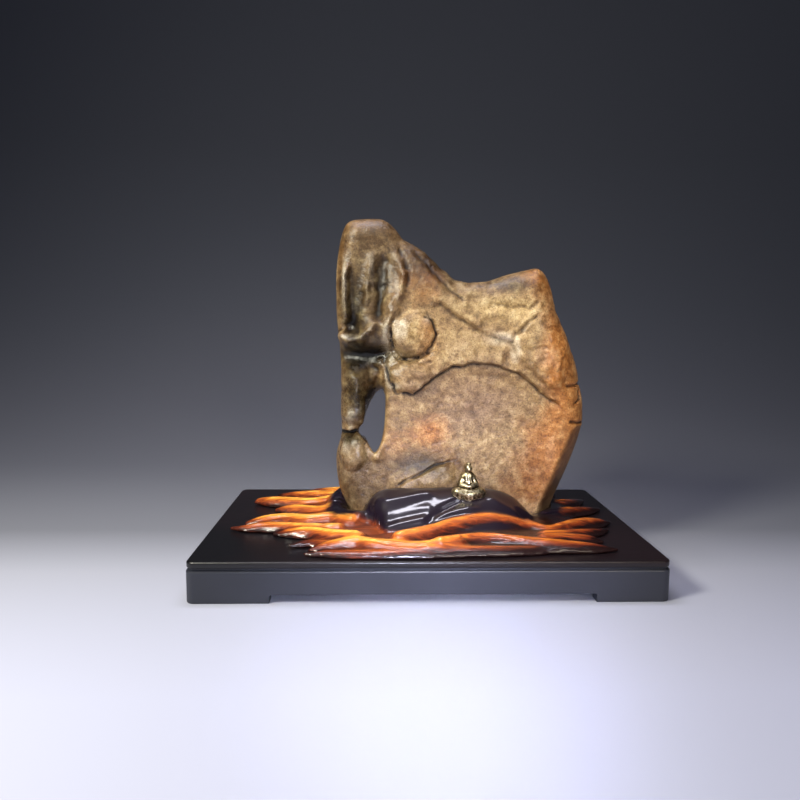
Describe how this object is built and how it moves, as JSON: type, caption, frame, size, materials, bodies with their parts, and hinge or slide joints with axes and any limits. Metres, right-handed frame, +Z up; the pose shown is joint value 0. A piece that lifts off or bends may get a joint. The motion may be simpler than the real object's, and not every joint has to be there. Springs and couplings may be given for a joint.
{
  "type": "river stone",
  "caption": "Water-worn upright river stone with a pierced edge, set in a carved wood stand on a low lacquered plinth, with a small seated brass figure in front.",
  "frame": {"origin": "centre of the plinth's underside, on the surface it stands on", "axes": "+X along the plinth's length, +Y from the front to the back, +Z up"},
  "size_m": [0.4, 0.24, 0.3264],
  "materials": {
    "stone": "water-worn brown rock, smooth with a soft sheen",
    "stand": "carved hardwood, glossy black and burnt orange lacquer",
    "figure": "cast, darkened in the recesses",
    "plinth_board": "satin black lacquer",
    "apron": "satin charcoal lacquer"
  },
  "bodies": {
    "root": {"stone": "stone", "stand": "stand", "figure": "figure", "plinth_board": "plinth_board", "apron_front": "apron", "apron_back": "apron", "apron_left": "apron", "apron_right": "apron"}
  },
  "joints": []
}
